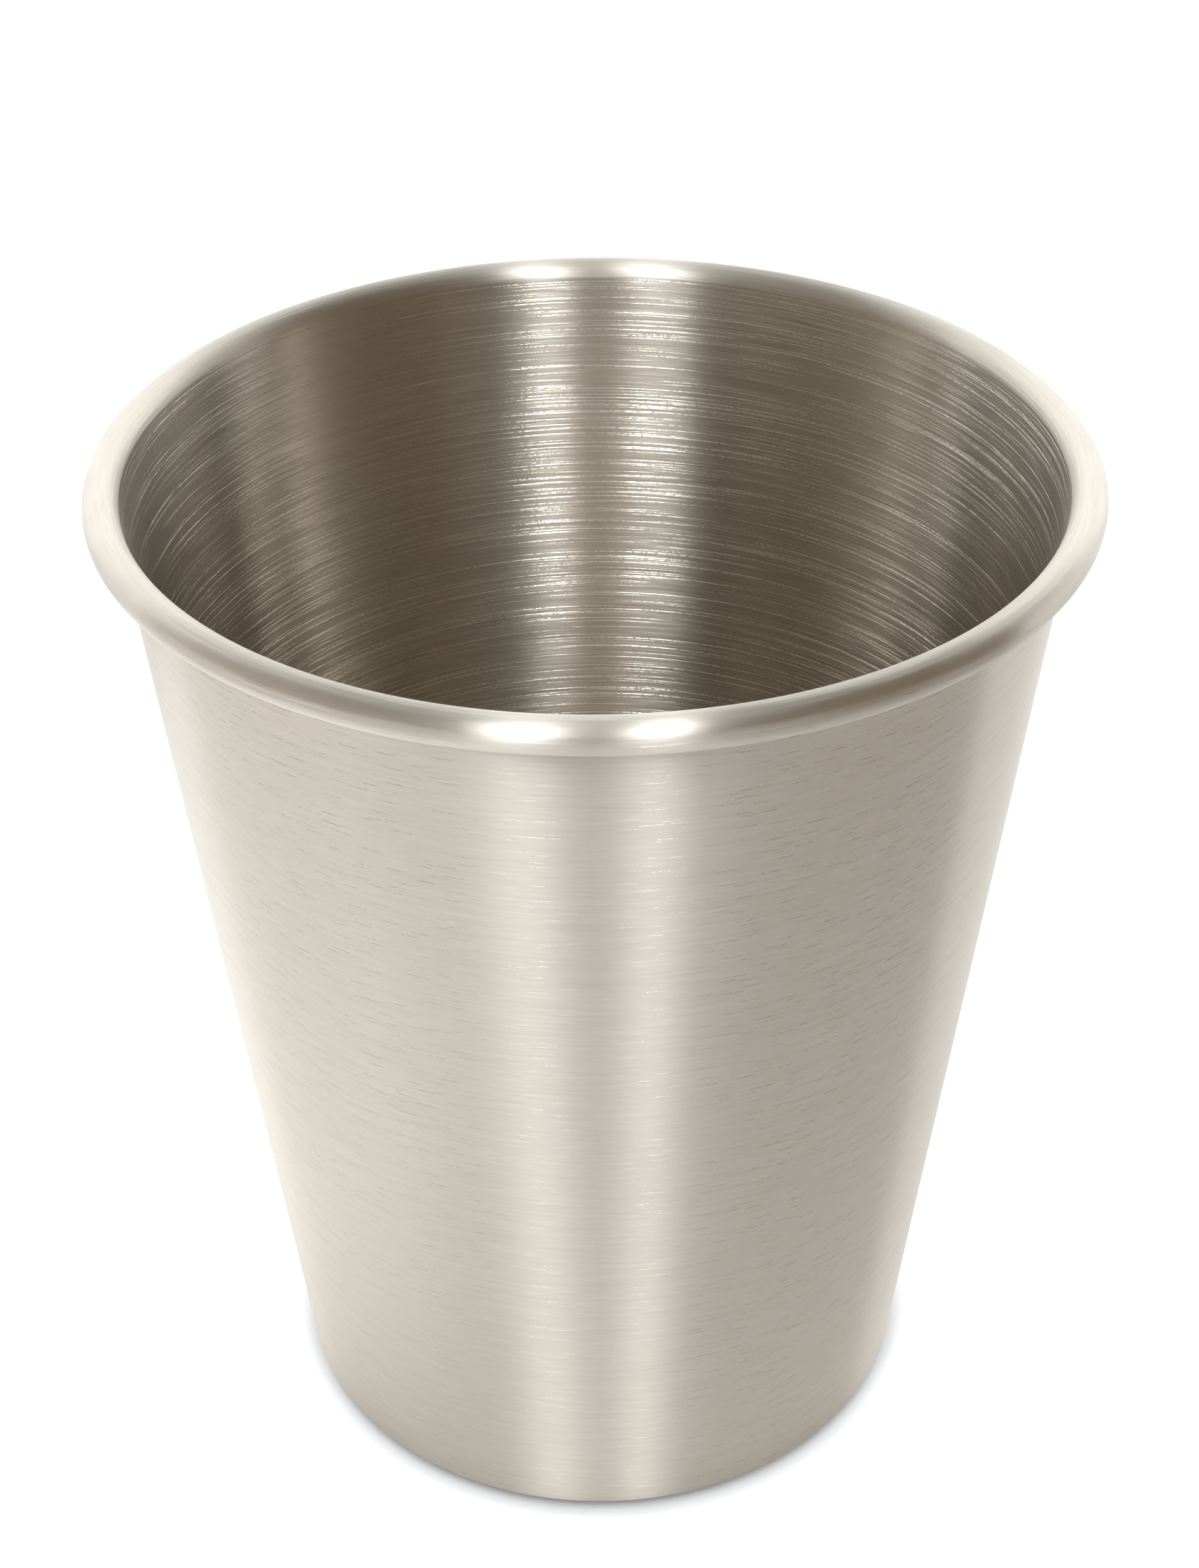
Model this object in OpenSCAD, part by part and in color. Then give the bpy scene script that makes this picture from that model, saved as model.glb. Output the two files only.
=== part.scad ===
// Julep cup: a tapered drinking cup of brushed sheet steel on a pressed base.
// The lip is rolled outward over a stiffening wire, and the wall is butted to the base above the foot.

/* [Cup] */
// Height from the table to the top of the rolled lip
cup_height = 100; // [80:1:130]
// Outside diameter over the rolled lip
rim_diameter = 90; // [76:1:110]
// Outside diameter of the wall where its slope would meet the table
base_diameter = 60.5; // [48:0.5:72]
// Thickness of the sheet
sheet_thickness = 0.6; // [0.4:0.05:0.9]

/* [Rolled lip] */
// Diameter of the roll, measured over the sheet
roll_diameter = 3.2; // [2.6:0.1:6]
// Gap left between the end of the rolled sheet and the wall
roll_gap = 0.1; // [0.05:0.01:0.4]
// Clearance between the stiffening wire and the inside of the roll
wire_clearance = 0.05; // [0.02:0.01:0.2]

/* [Base] */
// Outside radius of the rounded corner at the foot
foot_radius = 2.5; // [1.5:0.1:6]
// Length of sloping wall on the base, from the corner up to the seam
upstand_length = 0.8; // [0.5:0.1:12]
// Width of the flat ring that the cup stands on
foot_ring_width = 3; // [1:0.25:6]
// Height of the middle panel's underside above the table
recess_depth = 1.2; // [0.4:0.1:2.5]
// Radius, at the middle of the sheet, of the two bends that lift the panel
step_radius = 1.5; // [0.9:0.1:4]

/* [Hidden] */

// Degrees turned by one facet of a bend, and facets around the cup
facet_angle = 6;
$fn = 144;

steel_colour = "#C6BFB3";
wire_colour = "#A9A59C";

half_sheet = sheet_thickness / 2;

// The roll: its centre, and the slope of a wall that runs from the base into it
roll_radius = roll_diameter / 2;
roll_centre = [rim_diameter / 2 - roll_radius, cup_height - roll_radius];
wall_foot = [base_diameter / 2, 0];
foot_to_roll = roll_centre - wall_foot;
wall_lean = atan2(foot_to_roll[0], foot_to_roll[1])
    - asin((roll_radius - sheet_thickness) / norm(foot_to_roll));
roll_turn = 360 - acos((roll_radius - sheet_thickness - roll_gap) / roll_radius);
wire_radius = roll_radius - sheet_thickness - wire_clearance;

// The base: where its corner starts, and how far its two bends turn and reach
corner_x = wall_foot[0] - foot_radius * (1 - sin(wall_lean)) / cos(wall_lean);
step_turn = acos(1 - recess_depth / (2 * step_radius));
step_run = 2 * step_radius * sin(step_turn);
panel_radius = corner_x - foot_ring_width - step_run;

// A place on the middle of a sheet is [point, heading], with the heading in degrees from the x axis.
function along(heading) = [cos(heading), sin(heading)];
function left_of(heading) = [-sin(heading), cos(heading)];
function last(places) = places[len(places) - 1];

// The place after a straight run
function run(place, length) = [place[0] + length * along(place[1]), place[1]];

// The places along a bend, which turns left where the turn is positive
function bend(place, radius, turn) =
    let (
        count = ceil(abs(turn) / facet_angle),
        reach = radius * sign(turn),
        centre = place[0] + reach * left_of(place[1])
    )
    [
        for (k = [1 : count])
            let (heading = place[1] + turn * k / count)
            [centre - reach * left_of(heading), heading]
    ];

// The base in section, from its middle out to the foot and up to the seam
panel_middle = [[0, recess_depth + half_sheet], 0];
panel_edge = run(panel_middle, panel_radius);
step_down = bend(panel_edge, step_radius, -step_turn);
step_level = bend(last(step_down), step_radius, step_turn);
ring_edge = run(last(step_level), foot_ring_width);
foot_corner = bend(ring_edge, foot_radius - half_sheet, 90 - wall_lean);
seam = run(last(foot_corner), upstand_length);
base_path = concat([panel_middle, panel_edge], step_down, step_level, [ring_edge], foot_corner, [seam]);

// The wall in section, from the seam up its slope and around the roll
lip = [roll_centre + (roll_radius - half_sheet) * left_of(seam[1]), seam[1]];
wall_path = concat([seam, lip], bend(lip, roll_radius - half_sheet, -roll_turn));

// A sheet of even thickness along a path, turned about the cup's axis
module turned_sheet(path) {
    inner_face = [for (place = path) place[0] + half_sheet * left_of(place[1])];
    outer_face = [for (place = path) place[0] - half_sheet * left_of(place[1])];
    count = len(path);
    rotate_extrude()
        polygon(concat(outer_face, [for (k = [1 : count]) inner_face[count - k]]));
}

// Tapered wall with the lip rolled outward
module cup_wall() {
    color(steel_colour)
        turned_sheet(wall_path);
}

// Pressed base: raised middle panel, flat foot ring, rounded corner and short upstand
module base_pan() {
    color(steel_colour)
        turned_sheet(base_path);
}

// Stiffening wire inside the roll
module rim_wire() {
    color(wire_colour)
        rotate_extrude()
            translate(roll_centre)
                circle(r = wire_radius);
}

cup_wall();
base_pan();
rim_wire();
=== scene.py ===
# Julep cup of brushed sheet steel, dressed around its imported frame. Lengths are in metres.
import math

import bpy
from mathutils import Matrix, Vector


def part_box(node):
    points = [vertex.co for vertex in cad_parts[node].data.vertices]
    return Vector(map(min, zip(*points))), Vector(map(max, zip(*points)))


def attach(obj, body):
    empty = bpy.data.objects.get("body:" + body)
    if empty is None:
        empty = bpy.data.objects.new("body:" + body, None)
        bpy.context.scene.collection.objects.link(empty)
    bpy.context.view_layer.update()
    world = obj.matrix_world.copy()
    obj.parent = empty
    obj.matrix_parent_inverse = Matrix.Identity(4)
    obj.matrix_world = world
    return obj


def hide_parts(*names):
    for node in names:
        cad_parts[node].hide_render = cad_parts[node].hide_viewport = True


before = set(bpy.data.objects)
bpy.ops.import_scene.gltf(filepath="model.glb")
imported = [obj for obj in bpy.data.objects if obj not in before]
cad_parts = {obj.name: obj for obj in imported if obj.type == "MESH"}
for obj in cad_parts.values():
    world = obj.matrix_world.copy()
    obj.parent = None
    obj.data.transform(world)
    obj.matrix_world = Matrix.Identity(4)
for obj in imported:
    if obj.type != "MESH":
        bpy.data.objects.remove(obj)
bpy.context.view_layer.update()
scene = bpy.context.scene
scene.view_settings.view_transform = "Standard"

MM = 0.001

# Sizes of the cup, as in the part's source
CUP_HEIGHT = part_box("cup_wall")[1].z
RIM_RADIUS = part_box("cup_wall")[1].x
BASE_RADIUS = 60.5 * MM / 2
SHEET = 0.6 * MM
ROLL_RADIUS = 3.2 * MM / 2
ROLL_GAP = 0.1 * MM
FOOT_RADIUS = 2.5 * MM
UPSTAND_LENGTH = 0.8 * MM
FOOT_RING_WIDTH = 3 * MM
RECESS_DEPTH = 1.2 * MM
STEP_RADIUS = 1.5 * MM

# Fineness of the turned meshes: faces around the cup, rings up the wall, degrees to a facet of a bend
SEGMENTS = 256
WALL_RINGS = 24
FACET_ANGLE = 6
SMOOTH_ANGLE = math.radians(30)


# Colours: sRGB hex to linear
def linear(hex_colour):
    channels = [int(hex_colour[k:k + 2], 16) / 255 for k in (1, 3, 5)]
    return [c / 12.92 if c <= 0.04045 else ((c + 0.055) / 1.055) ** 2.4 for c in channels] + [1]


# Adds a node with its settings; an input given as a socket is linked, and any other is set
def add(tree, kind, inputs=(), **settings):
    node = tree.nodes.new(kind)
    for name, value in settings.items():
        setattr(node, name, value)
    for name, value in dict(inputs).items():
        if isinstance(value, bpy.types.NodeSocket):
            tree.links.new(value, node.inputs[name])
        else:
            node.inputs[name].default_value = value
    return node


def new_material(name):
    material = bpy.data.materials.new(name)
    material.use_nodes = True
    material.node_tree.nodes.clear()
    return material, material.node_tree


# Coordinates for brushing that runs around the cup: a pattern of one size in them comes out as long as
# its length around the circle, and as narrow as its spacing across it
def brushing(tree, length, spacing):
    place = add(tree, "ShaderNodeTexCoord").outputs["Object"]
    axes = add(tree, "ShaderNodeSeparateXYZ", {"Vector": place}).outputs
    level = add(tree, "ShaderNodeCombineXYZ", {"X": axes["X"], "Y": axes["Y"]}).outputs["Vector"]
    radius = add(tree, "ShaderNodeVectorMath", {0: level}, operation="LENGTH").outputs["Value"]
    across = add(tree, "ShaderNodeMath", {0: axes["Z"], 1: radius}, operation="ADD").outputs["Value"]
    drawn = add(tree, "ShaderNodeMath", {
        0: across, 1: length / spacing}, operation="MULTIPLY").outputs["Value"]
    return add(tree, "ShaderNodeCombineXYZ", {
        "X": axes["X"], "Y": axes["Y"], "Z": drawn}).outputs["Vector"]


# Levels of a noise that count as its lowest and highest: few places are beyond them
NOISE_LOW, NOISE_HIGH = 0.25, 0.75


# Slope of a fine grain, from about -1 to 1
def grain(tree, length, spacing, detail):
    noise = add(tree, "ShaderNodeTexNoise", {
        "Vector": brushing(tree, length, spacing), "Scale": 1 / length, "Detail": detail,
        "Roughness": 0.5})
    return add(tree, "ShaderNodeMapRange", {
        "Value": noise.outputs["Fac"], "From Min": NOISE_LOW, "From Max": NOISE_HIGH,
        "To Min": -1, "To Max": 1}, clamp=False).outputs["Result"]


# How far a scratch strays from the brushing's line, as a share of its length
SCRATCH_SKEW = 0.002

# Flecks of a scratch: the levels of a noise between which they fade in, and what is left between them
FLECK_START, FLECK_FULL = 0.4, 0.55
FLECK_GAP = 0.2


# Slope of single scratches, one to a cell of length by spacing, broken into flecks: from 0 beside the
# scratch to 1 in its middle
def scratches(tree, length, spacing, width, fleck):
    stretch = length / spacing
    place = brushing(tree, length, spacing)
    cell = add(tree, "ShaderNodeTexVoronoi", {"Vector": place, "Scale": 1 / length}).outputs
    offset = add(tree, "ShaderNodeVectorMath", {
        0: place, 1: cell["Position"]}, operation="SUBTRACT").outputs["Vector"]
    flat = add(tree, "ShaderNodeVectorMath", {
        0: offset, 1: (1, 1, 0)}, operation="MULTIPLY").outputs["Vector"]
    aim = add(tree, "ShaderNodeVectorMath", {
        0: cell["Color"], 1: (0.5, 0.5, 0.5)}, operation="SUBTRACT").outputs["Vector"]
    lean = add(tree, "ShaderNodeVectorMath", {0: flat, 1: aim}, operation="DOT_PRODUCT").outputs["Value"]
    rise = add(tree, "ShaderNodeSeparateXYZ", {"Vector": offset}).outputs["Z"]
    skewed = add(tree, "ShaderNodeMath", {
        0: lean, 1: SCRATCH_SKEW * stretch, 2: rise}, operation="MULTIPLY_ADD").outputs["Value"]
    beside = add(tree, "ShaderNodeMath", {0: skewed}, operation="ABSOLUTE").outputs["Value"]
    line = add(tree, "ShaderNodeMapRange", {
        "Value": beside, "From Min": width / 2 * stretch, "From Max": 0},
        interpolation_type="SMOOTHSTEP").outputs["Result"]
    reach = add(tree, "ShaderNodeVectorMath", {0: flat}, operation="LENGTH").outputs["Value"]
    taper = add(tree, "ShaderNodeMapRange", {
        "Value": reach, "From Min": length / 2, "From Max": length / 4},
        interpolation_type="SMOOTHSTEP").outputs["Result"]
    whole = add(tree, "ShaderNodeMath", {0: line, 1: taper}, operation="MULTIPLY").outputs["Value"]
    flecks = add(tree, "ShaderNodeTexNoise", {
        "Vector": add(tree, "ShaderNodeTexCoord").outputs["Object"], "Scale": 1 / fleck, "Detail": 1})
    broken = add(tree, "ShaderNodeMapRange", {
        "Value": flecks.outputs["Fac"], "From Min": FLECK_START, "From Max": FLECK_FULL,
        "To Min": FLECK_GAP, "To Max": 1}).outputs["Result"]
    return add(tree, "ShaderNodeMath", {0: whole, 1: broken}, operation="MULTIPLY").outputs["Value"]


# Streaks in the steel's colour
STREAK_LENGTH = 6 * MM
STREAK_SPACING = 0.3 * MM
STREAK_DETAIL = 4

# Turn of the stretched highlight that lays it across the brushing
QUARTER_TURN = 0.25


# Steel that was brushed around the cup. Its colour varies in streaks between two tones, and its normal
# leans across the brushing by the sum of the given slopes. A slope above zero leans it up on the outside
# and down on the inside. Real grit leaves lines some hundredths of a millimetre apart, which are too fine
# for the render, so all spacings are drawn coarser than that.
def brushed_steel(name, tones, roughness, slopes):
    material, tree = new_material(name)
    streak = add(tree, "ShaderNodeMapRange", {
        "Value": grain(tree, STREAK_LENGTH, STREAK_SPACING, STREAK_DETAIL),
        "From Min": -1, "From Max": 1}).outputs["Result"]
    dark, light = (linear(tone) for tone in tones)
    colour = add(tree, "ShaderNodeMix", {"Factor": streak, "A": dark, "B": light}, data_type="RGBA")
    total = 0
    for pattern, slope in slopes(tree):
        total = add(tree, "ShaderNodeMath", {
            0: pattern, 1: slope, 2: total}, operation="MULTIPLY_ADD").outputs["Value"]
    normal = add(tree, "ShaderNodeNewGeometry").outputs["Normal"]
    around_cup = add(tree, "ShaderNodeTangent", direction_type="RADIAL", axis="Z").outputs["Tangent"]
    across = add(tree, "ShaderNodeVectorMath", {
        0: normal, 1: around_cup}, operation="CROSS_PRODUCT").outputs["Vector"]
    lean = add(tree, "ShaderNodeVectorMath", {
        0: across, "Scale": total}, operation="SCALE").outputs["Vector"]
    leant = add(tree, "ShaderNodeVectorMath", {0: normal, 1: lean}, operation="ADD").outputs["Vector"]
    facing = add(tree, "ShaderNodeVectorMath", {0: leant}, operation="NORMALIZE").outputs["Vector"]
    steel = add(tree, "ShaderNodeBsdfPrincipled", {
        "Base Color": colour.outputs["Result"], "Metallic": 1, "Roughness": roughness,
        "Anisotropic": 1, "Anisotropic Rotation": QUARTER_TURN, "Normal": facing, "Tangent": around_cup})
    add(tree, "ShaderNodeOutputMaterial", {"Surface": steel.outputs["BSDF"]})
    return material


BRIGHT_TONES = ("#C8C0B4", "#D2CABF")
# The same steel's tones, darkened for the inside of the cup: a painted shade
INSIDE_PAINTED_SHADE_TONES = ("#BEB6AA", "#C8C0B4")


# Stainless steel, brushed outside by a fine belt: a soft satin with broad bands of light, and short faint
# dashes in them
def satin_steel():
    return brushed_steel("stainless_steel_satin", BRIGHT_TONES, roughness=0.42, slopes=lambda tree: [
        (grain(tree, length=3 * MM, spacing=0.15 * MM, detail=2), 0.08),
        (scratches(tree, length=2.5 * MM, spacing=1.2 * MM, width=0.1 * MM, fleck=0.3 * MM), 0.9)])


# Stainless steel, brushed inside by hand with a coarser grit, its tones darkened as a painted shade for the
# inside of the cup: sharper bands of light, and long single scratches that lean up to the lamps and glint
def scratched_steel():
    return brushed_steel("stainless_steel_scratched", INSIDE_PAINTED_SHADE_TONES, roughness=0.28, slopes=lambda tree: [
        (grain(tree, length=8 * MM, spacing=0.1 * MM, detail=2), 0.12),
        (scratches(tree, length=14 * MM, spacing=0.3 * MM, width=0.12 * MM, fleck=0.25 * MM), -0.45),
        (scratches(tree, length=40 * MM, spacing=0.7 * MM, width=0.14 * MM, fleck=0.3 * MM), -0.8)])


# Stainless steel, burnished on the lip by the rolling tool: soft bright spots, and faint lines around it
def burnished_steel():
    return brushed_steel("stainless_steel_burnished", BRIGHT_TONES, roughness=0.38, slopes=lambda tree: [
        (grain(tree, length=12 * MM, spacing=0.15 * MM, detail=2), 0.15)])


# Steel wire, drawn through a die: a dull grey, hidden in the roll
def drawn_wire():
    material, tree = new_material("steel_wire_drawn")
    steel = add(tree, "ShaderNodeBsdfPrincipled", {
        "Base Color": linear("#A9A59C"), "Metallic": 1, "Roughness": 0.4})
    add(tree, "ShaderNodeOutputMaterial", {"Surface": steel.outputs["BSDF"]})
    return material


# The sheet's middle line in section, as places of (radius, height) and a heading from the level
def run(place, length):
    point, heading = place
    return point + length * Vector((math.cos(heading), math.sin(heading))), heading


def left_of(heading):
    return Vector((-math.sin(heading), math.cos(heading)))


def bend(place, radius, turn):
    point, heading = place
    count = math.ceil(abs(math.degrees(turn)) / FACET_ANGLE)
    reach = math.copysign(radius, turn)
    centre = point + reach * left_of(heading)
    headings = [heading + turn * k / count for k in range(1, count + 1)]
    return [(centre - reach * left_of(h), h) for h in headings]


def steps(place, length, count):
    return [run(place, length * k / count) for k in range(1, count + 1)]


roll_centre = Vector((RIM_RADIUS - ROLL_RADIUS, CUP_HEIGHT - ROLL_RADIUS))
foot_to_roll = roll_centre - Vector((BASE_RADIUS, 0))
wall_lean = (math.atan2(foot_to_roll.x, foot_to_roll.y)
             - math.asin((ROLL_RADIUS - SHEET) / foot_to_roll.length))
roll_turn = math.tau - math.acos((ROLL_RADIUS - SHEET - ROLL_GAP) / ROLL_RADIUS)
corner_radius = BASE_RADIUS - FOOT_RADIUS * (1 - math.sin(wall_lean)) / math.cos(wall_lean)
step_turn = math.acos(1 - RECESS_DEPTH / (2 * STEP_RADIUS))
panel_radius = corner_radius - FOOT_RING_WIDTH - 2 * STEP_RADIUS * math.sin(step_turn)

panel_edge = (Vector((panel_radius, RECESS_DEPTH + SHEET / 2)), 0)
base_path = [panel_edge]
base_path += bend(base_path[-1], STEP_RADIUS, -step_turn)
base_path += bend(base_path[-1], STEP_RADIUS, step_turn)
base_path += [run(base_path[-1], FOOT_RING_WIDTH)]
base_path += bend(base_path[-1], FOOT_RADIUS - SHEET / 2, math.pi / 2 - wall_lean)
base_path += [run(base_path[-1], UPSTAND_LENGTH)]

seam = base_path[-1]
lip_point = roll_centre + (ROLL_RADIUS - SHEET / 2) * left_of(seam[1])
wall_path = [seam] + steps(seam, (lip_point - seam[0]).length, WALL_RINGS)
wall_path += bend(wall_path[-1], ROLL_RADIUS - SHEET / 2, -roll_turn)


# Draws the selected ring out from place to place
def extrude_ring(path):
    for (here, _), (there, _) in zip(path, path[1:]):
        bpy.ops.mesh.extrude_edges_move(
            TRANSFORM_OT_translate={"value": (0, 0, there.y - here.y)})
        widen = there.x / here.x
        bpy.ops.transform.resize(value=(widen, widen, 1), center_override=(0, 0, there.y))


# Turns a sheet: a ring at the first place is drawn out along the path, then given its thickness
def turned_sheet(name, path, fill):
    bpy.ops.object.select_all(action="DESELECT")
    start = path[0][0]
    bpy.ops.mesh.primitive_circle_add(
        vertices=SEGMENTS, radius=start.x, location=(0, 0, start.y), fill_type=fill)
    piece = bpy.context.object
    piece.name = piece.data.name = name
    bpy.ops.object.transform_apply(location=True, rotation=False, scale=False)
    bpy.ops.object.mode_set(mode="EDIT")
    if fill != "NOTHING":
        bpy.ops.mesh.region_to_loop()
    extrude_ring(path)
    bpy.ops.mesh.select_all(action="SELECT")
    bpy.ops.mesh.normals_make_consistent(inside=False)
    bpy.ops.object.mode_set(mode="OBJECT")
    wall = piece.modifiers.new("sheet", "SOLIDIFY")
    wall.thickness = SHEET
    wall.offset = 0
    wall.use_even_offset = True
    bpy.ops.object.modifier_apply(modifier=wall.name)
    bpy.ops.object.shade_smooth_by_angle(angle=SMOOTH_ANGLE)
    return piece


# Sides of a turned sheet, by the place of their finish in its list of materials
OUTSIDE, INSIDE, LIP = range(3)
outside, inside, lip, wire = satin_steel(), scratched_steel(), burnished_steel(), drawn_wire()


def faces_out(face):
    return face.normal.x * face.center.x + face.normal.y * face.center.y > 0


def wall_side(face):
    if face.center.z > lip_point.y:
        return LIP
    return OUTSIDE if faces_out(face) else INSIDE


def base_side(face):
    return OUTSIDE if faces_out(face) or face.normal.z < 0 else INSIDE


# Gives each face of a turned sheet the finish of its side
def finish_faces(piece, finishes, side_of):
    for finish in finishes:
        piece.data.materials.append(finish)
    for face in piece.data.polygons:
        face.material_index = side_of(face)


cup_wall = turned_sheet("cup_wall_sheet", wall_path, "NOTHING")
finish_faces(cup_wall, [outside, inside, lip], wall_side)
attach(cup_wall, "root")
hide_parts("cup_wall")

base_pan = turned_sheet("base_pan_sheet", base_path, "TRIFAN")
finish_faces(base_pan, [outside, inside], base_side)
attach(base_pan, "root")
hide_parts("base_pan")

rim_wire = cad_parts["rim_wire"]
rim_wire.data.materials.clear()
rim_wire.data.materials.append(wire)


# Camera: the photograph's viewpoint, found from its outlines of the lip, the wall and the foot
PHOTO_HEIGHT_PIXELS = 2197
FOCAL_PIXELS = 4171
SENSOR_MM = 36
CLIP_START = 0.01
CAMERA_PLACE = (0, -0.2352, 0.2202)
CAMERA_DOWN, CAMERA_RIGHT, CAMERA_ROLL = (math.radians(a) for a in (33.35, 0.047, -0.454))
camera_data = bpy.data.cameras.new("camera")
camera_data.sensor_width = SENSOR_MM
camera_data.lens = FOCAL_PIXELS * SENSOR_MM / PHOTO_HEIGHT_PIXELS
camera_data.clip_start = CLIP_START
camera = bpy.data.objects.new("camera", camera_data)
scene.collection.objects.link(camera)
camera.matrix_world = (
    Matrix.Translation(CAMERA_PLACE)
    @ Matrix.Rotation(-CAMERA_RIGHT, 4, "Z")
    @ Matrix.Rotation(math.pi / 2 - CAMERA_DOWN, 4, "X")
    @ Matrix.Rotation(CAMERA_ROLL, 4, "Z"))
scene.camera = camera


# Backdrop: one sheet of white paper, level under the cup and raised all round it in a wide curve
BACKDROP_RADIUS = 1.2
BACKDROP_HEIGHT = 2.1
BACKDROP_CURVE = 0.25
BACKDROP_SEGMENTS = 96
FOOT_GAP = 0.02 * MM

# Glow of the paper: to the camera, and in the metal near the cup and far from it. In the metal it is lower
# near the cup, a painted shade of the cup on the paper, with a little more around the foot, a painted light
# for the light that the steel throws there
CAMERA_GLOW = 0.75
NEAR_GLOW_PAINTED_SHADE, FAR_GLOW = 0.1, 0.55
FOOT_PAINTED_LIGHT, FOOT_PAINTED_LIGHT_REACH = 0.1, 0.03

# Shadow under the foot: how far it reaches, the light that is left in it, how open a place is at its end,
# and the rays that feel for it
SHADOW_REACH = 5 * MM
SHADOW_LIGHT = 0.05
SHADOW_END = 0.95
SHADOW_RAYS = 2

MATT_ROUGHNESS = 0.9


# White paper, uncoated: matt, even and white to the camera, and dark only in the narrow shadow under the
# foot. In the metal it has painted shade, greyer near the cup, and painted light, a little brighter around
# the foot
def paper():
    material, tree = new_material("paper_white_matt")
    rays = add(tree, "ShaderNodeLightPath").outputs
    mirrored = add(tree, "ShaderNodeMath", {
        0: rays["Is Glossy Ray"], 1: rays["Is Transmission Ray"]}, operation="MAXIMUM").outputs["Value"]
    place = add(tree, "ShaderNodeTexCoord").outputs["Object"]
    away = add(tree, "ShaderNodeVectorMath", {0: place}, operation="LENGTH").outputs["Value"]
    # Painted shade: the glow that the metal sees is lower near the cup
    glow_painted_darker_near_cup = add(tree, "ShaderNodeMapRange", {
        "Value": away, "From Min": 0, "From Max": BACKDROP_RADIUS,
        "To Min": NEAR_GLOW_PAINTED_SHADE, "To Max": FAR_GLOW}).outputs["Result"]
    # Painted light: more glow around the foot, for the light that the steel throws there
    painted_thrown_light = add(tree, "ShaderNodeMapRange", {
        "Value": away, "From Min": BASE_RADIUS, "From Max": BASE_RADIUS + FOOT_PAINTED_LIGHT_REACH,
        "To Min": FOOT_PAINTED_LIGHT, "To Max": 0}).outputs["Result"]
    lift = add(tree, "ShaderNodeMath", {0: glow_painted_darker_near_cup, 1: painted_thrown_light}, operation="ADD").outputs["Value"]
    seen = add(tree, "ShaderNodeMath", {
        0: rays["Is Camera Ray"], 1: CAMERA_GLOW}, operation="MULTIPLY").outputs["Value"]
    glow = add(tree, "ShaderNodeMath", {
        0: mirrored, 1: lift, 2: seen}, operation="MULTIPLY_ADD").outputs["Value"]
    crevice = add(tree, "ShaderNodeAmbientOcclusion", {"Distance": SHADOW_REACH}, samples=SHADOW_RAYS)
    shade = add(tree, "ShaderNodeMapRange", {
        "Value": crevice.outputs["AO"], "From Min": 0, "From Max": SHADOW_END,
        "To Min": SHADOW_LIGHT, "To Max": 1}).outputs["Result"]
    white = add(tree, "ShaderNodeMix", {
        "Factor": shade, "A": linear("#000000"), "B": linear("#F2F2F2")}, data_type="RGBA")
    shaded = add(tree, "ShaderNodeMath", {0: glow, 1: shade}, operation="MULTIPLY").outputs["Value"]
    sheet = add(tree, "ShaderNodeBsdfPrincipled", {
        "Base Color": white.outputs["Result"], "Roughness": MATT_ROUGHNESS, "Specular IOR Level": 0,
        "Emission Color": linear("#FFFFFF"), "Emission Strength": shaded})
    add(tree, "ShaderNodeOutputMaterial", {"Surface": sheet.outputs["BSDF"]})
    return material


paper_path = [(Vector((BACKDROP_RADIUS - BACKDROP_CURVE, -FOOT_GAP)), 0)]
paper_path += bend(paper_path[-1], BACKDROP_CURVE, math.pi / 2)
paper_path += [run(paper_path[-1], BACKDROP_HEIGHT - BACKDROP_CURVE)]
paper_edge = paper_path[0][0]
bpy.ops.object.select_all(action="DESELECT")
bpy.ops.mesh.primitive_circle_add(
    vertices=BACKDROP_SEGMENTS, radius=paper_edge.x, location=(0, 0, paper_edge.y), fill_type="NGON")
floor = bpy.context.object
floor.name = "backdrop"
bpy.ops.object.transform_apply(location=True, rotation=False, scale=False)
bpy.ops.object.mode_set(mode="EDIT")
bpy.ops.mesh.region_to_loop()
extrude_ring(paper_path)
bpy.ops.object.mode_set(mode="OBJECT")
bpy.ops.object.shade_smooth_by_angle(angle=SMOOTH_ANGLE)
floor.data.materials.append(paper())


# The point at an azimuth in degrees from the camera's side, a distance from the cup's axis and a height
def around(azimuth, distance, height):
    angle = math.radians(azimuth)
    return Vector((distance * math.sin(angle), -distance * math.cos(angle), height))


# The place of a panel between two such points, with its front to the cup, and its length
def panel_place(start, end):
    start_point, end_point = around(*start), around(*end)
    up = (end_point - start_point).normalized()
    angle = math.radians(start[0] + end[0]) / 2
    side = Vector((math.cos(angle), math.sin(angle), 0))
    front = side.cross(up).normalized()
    turn = Matrix((up.cross(front), up, front)).transposed().to_4x4()
    return Matrix.Translation((start_point + end_point) / 2) @ turn, (end_point - start_point).length


LAMP_COLOUR = "#F7FBFF"


# Soft studio light of a daylight colour: a panel that glows evenly, so that its power is pi times its
# brightness and its area
def softbox(name, start, end, width, brightness):
    place, length = panel_place(start, end)
    data = bpy.data.lights.new(name, "AREA")
    data.shape = "RECTANGLE"
    data.size, data.size_y = width, length
    data.energy = brightness * math.pi * width * length
    data.color = linear(LAMP_COLOUR)[:3]
    lamp = bpy.data.objects.new(name, data)
    scene.collection.objects.link(lamp)
    lamp.matrix_world = place
    lamp.visible_camera = False


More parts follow.
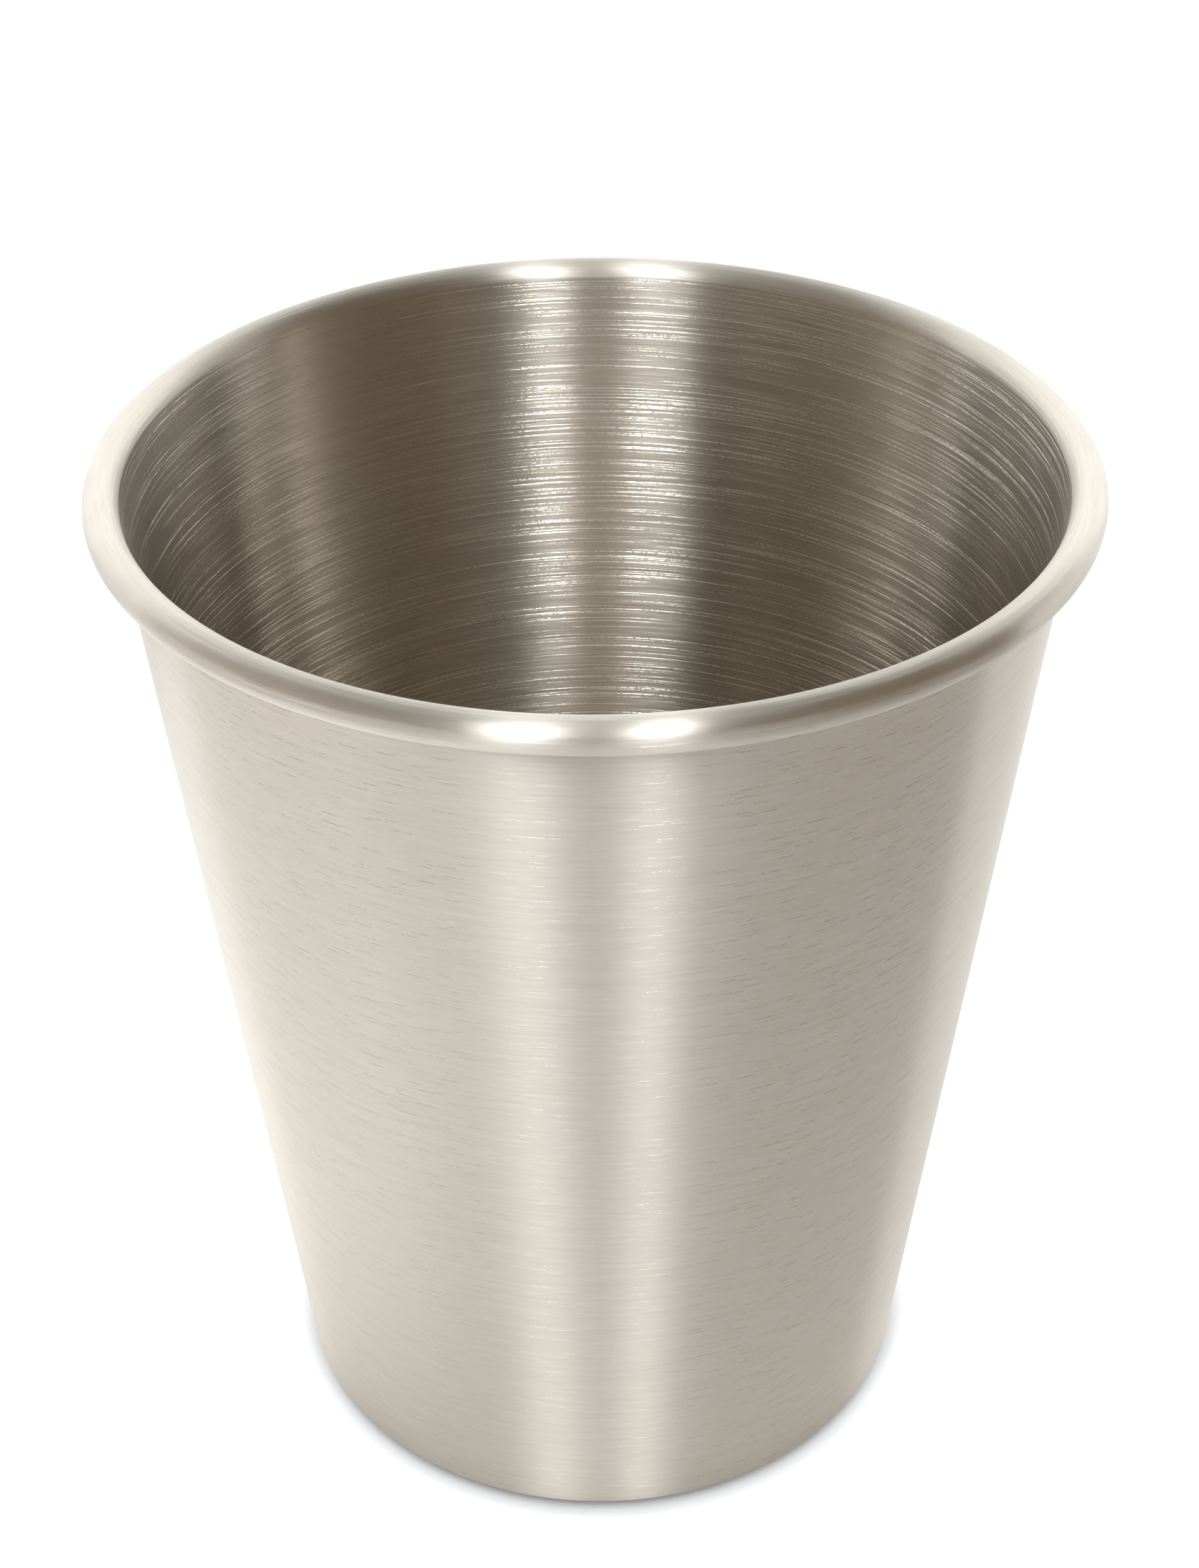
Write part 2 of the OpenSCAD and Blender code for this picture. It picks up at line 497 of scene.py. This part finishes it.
softbox("left_strip", start=(-19, 0.7, 0.38), end=(-15.5, 0.7, 1.6), width=0.19, brightness=9)
softbox("right_strip", start=(10, 0.7, 0.38), end=(30, 0.7, 1.6), width=0.125, brightness=11.7)
softbox("front_fill", start=(0, 0.78, 0.3), end=(0, 0.78, 1.6), width=0.38, brightness=0.6)
softbox("top_panel", start=(0, 0.65, 1.6), end=(0, -0.65, 1.6), width=1.3, brightness=0.6)
softbox("back_panel", start=(180, 0.8, 0), end=(180, 0.8, 0.9), width=2.4, brightness=0.4)
softbox("low_left_panel", start=(-78, 0.05, 0.002), end=(-78, 0.38, 0.002), width=0.24, brightness=0.78)


# Flags: boards painted in matt browns and greys, which only the metal sees. They keep the white paper out
# of the front and the sides of the cup.
def flag(name, start, end, width, colour):
    place, length = panel_place(start, end)
    bpy.ops.object.select_all(action="DESELECT")
    bpy.ops.mesh.primitive_plane_add(size=1)
    board = bpy.context.object
    board.name = name
    board.data.transform(place @ Matrix.Diagonal((width, length, 1, 1)))
    material, tree = new_material("board_painted_matt")
    paint = add(tree, "ShaderNodeBsdfPrincipled", {
        "Base Color": linear(colour), "Roughness": MATT_ROUGHNESS})
    add(tree, "ShaderNodeOutputMaterial", {"Surface": paint.outputs["BSDF"]})
    board.data.materials.append(material)
    board.visible_camera = board.visible_diffuse = board.visible_shadow = False


flag("low_left_flag", start=(-64, 0.28, 0.001), end=(-64, 0.28, 0.2), width=0.44, colour="#D8CFC2")
flag("low_right_flag", start=(60, 0.28, 0.001), end=(60, 0.28, 0.2), width=0.35, colour="#96826A")
flag("high_left_flag", start=(-65, 0.28, 0.2), end=(-65, 0.28, 0.75), width=0.44, colour="#A89F93")
flag("high_right_flag", start=(78, 0.28, 0.2), end=(78, 0.28, 0.75), width=0.56, colour="#74664F")
flag("low_front_flag", start=(0, 0.3, 0.001), end=(0, 0.3, 0.13), width=0.28, colour="#302C28")
flag("front_flag", start=(0, 0.85, 0.001), end=(0, 0.85, 2), width=1.15, colour="#605A52")

# Faint even light from all round
AIR_GLOW = 0.15
world = bpy.data.worlds.new("studio")
world.use_nodes = True
scene.world = world
world.node_tree.nodes.clear()
air = add(world.node_tree, "ShaderNodeBackground", {"Color": linear("#FFFFFF"), "Strength": AIR_GLOW})
add(world.node_tree, "ShaderNodeOutputWorld", {"Surface": air.outputs["Background"]})
